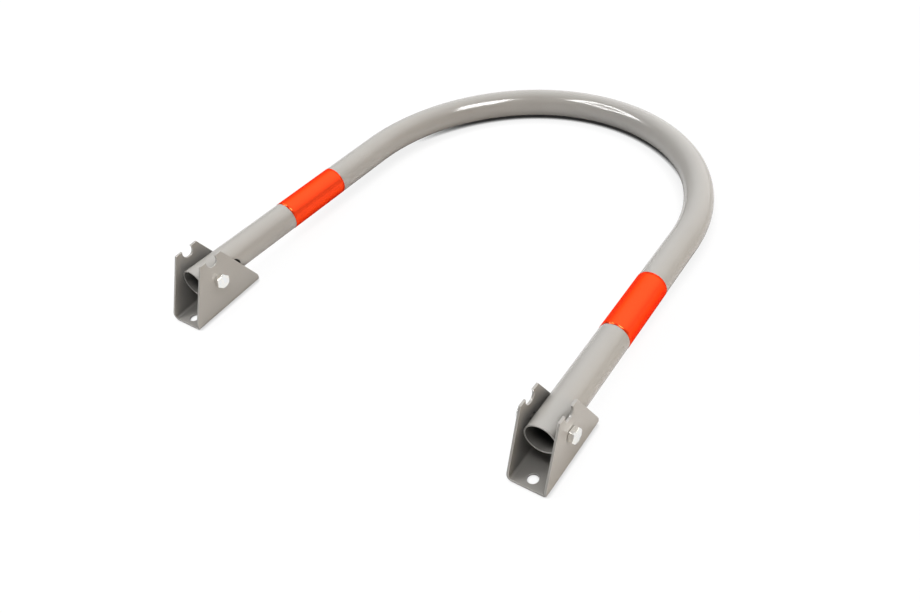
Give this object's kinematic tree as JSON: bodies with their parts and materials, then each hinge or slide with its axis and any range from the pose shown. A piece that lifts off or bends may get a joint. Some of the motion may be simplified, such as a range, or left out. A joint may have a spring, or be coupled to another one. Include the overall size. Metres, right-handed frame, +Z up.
{
  "type": "folding parking barrier",
  "caption": "U-shaped steel tube hoop with red reflective bands that folds flat or stands up between floor brackets and locks with a pin.",
  "frame": {"origin": "on the floor at the middle of the anchor hole pattern, midway between the brackets", "axes": "+X along the pivot axis, +Y from the brackets to the crown of the lowered hoop, +Z up"},
  "size_m": [0.5999, 0.6628, 0.081],
  "materials": {
    "grey_paint": "semi-gloss enamel",
    "zinc": "zinc plated",
    "nylon": "natural nylon",
    "film": "glossy reflective film"
  },
  "bodies": {
    "brackets": {"left_bracket": "grey_paint", "left_bolt": "zinc", "left_washer": "zinc", "left_nut": "zinc", "left_nut_ring": "nylon", "right_bracket": "grey_paint", "right_bolt": "zinc", "right_washer": "zinc", "right_nut": "zinc", "right_nut_ring": "nylon"},
    "hoop": {"hoop_tube": "grey_paint", "left_band": "film", "right_band": "film"}
  },
  "joints": [
    {"name": "hoop_fold", "type": "hinge", "parent": "brackets", "child": "hoop", "pos_m": [0, 0, 0.045], "axis": [1, 0, 0], "range_deg": [0, 92.44]}
  ]
}
